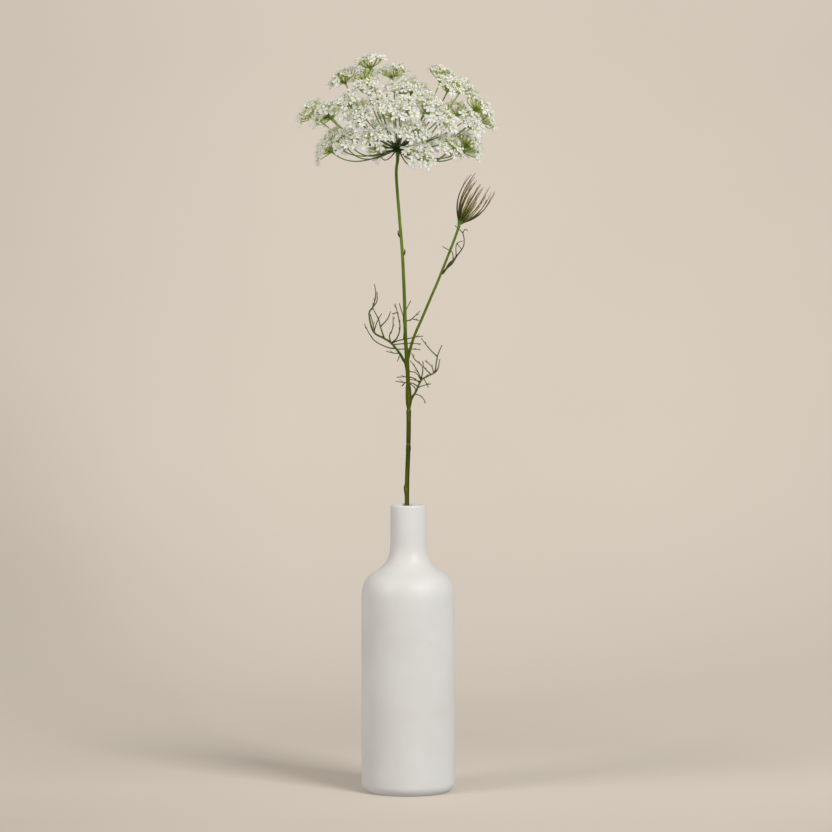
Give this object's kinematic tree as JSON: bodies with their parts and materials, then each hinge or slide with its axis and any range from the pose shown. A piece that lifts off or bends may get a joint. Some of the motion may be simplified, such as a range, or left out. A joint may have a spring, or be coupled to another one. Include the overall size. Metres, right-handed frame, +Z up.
{
  "type": "wild carrot stem in bottle vase",
  "caption": "Cut stem of a white-flowered umbel plant with feathery leaves and a closed side umbel, standing in a matte white ceramic bottle vase.",
  "frame": {"origin": "middle of the vase's flat base, at the height that it stands on", "axes": "+Z up along the vase's axis, +X to the right of the pictured front, towards the side stem, +Y away from the viewer"},
  "size_m": [0.1581, 0.143, 0.5731],
  "materials": {
    "vase_ceramic": "matte",
    "water": "clear",
    "stem_green": "satin",
    "leaf_green": "satin",
    "ray_green": "satin",
    "floret_white": "matte",
    "closed_umbel_olive": "matte"
  },
  "bodies": {
    "root": {"vase": "vase_ceramic", "water": "water", "stem": "stem_green", "upper_leaf": "leaf_green", "lower_leaf": "leaf_green", "side_leaf": "leaf_green", "umbel_rays": "ray_green", "umbellet_01": "floret_white", "umbellet_02": "floret_white", "umbellet_03": "floret_white", "umbellet_04": "floret_white", "umbellet_05": "floret_white", "umbellet_06": "floret_white", "umbellet_07": "floret_white", "umbellet_08": "floret_white", "umbellet_09": "floret_white", "umbellet_10": "floret_white", "umbellet_11": "floret_white", "umbellet_12": "floret_white", "umbellet_13": "floret_white", "umbellet_14": "floret_white", "umbellet_15": "floret_white", "umbellet_16": "floret_white", "umbellet_17": "floret_white", "umbellet_18": "floret_white", "umbellet_19": "floret_white", "umbellet_20": "floret_white", "umbellet_21": "floret_white", "umbellet_22": "floret_white", "umbellet_23": "floret_white", "umbellet_24": "floret_white", "umbellet_25": "floret_white", "umbellet_26": "floret_white", "umbellet_27": "floret_white", "umbellet_28": "floret_white", "umbellet_29": "floret_white", "umbellet_30": "floret_white", "umbellet_31": "floret_white", "umbellet_32": "floret_white", "umbellet_33": "floret_white", "umbellet_34": "floret_white", "umbellet_35": "floret_white", "umbellet_36": "floret_white", "umbellet_37": "floret_white", "umbellet_38": "floret_white", "umbellet_39": "floret_white", "umbellet_40": "floret_white", "closed_umbel": "closed_umbel_olive"}
  },
  "joints": []
}
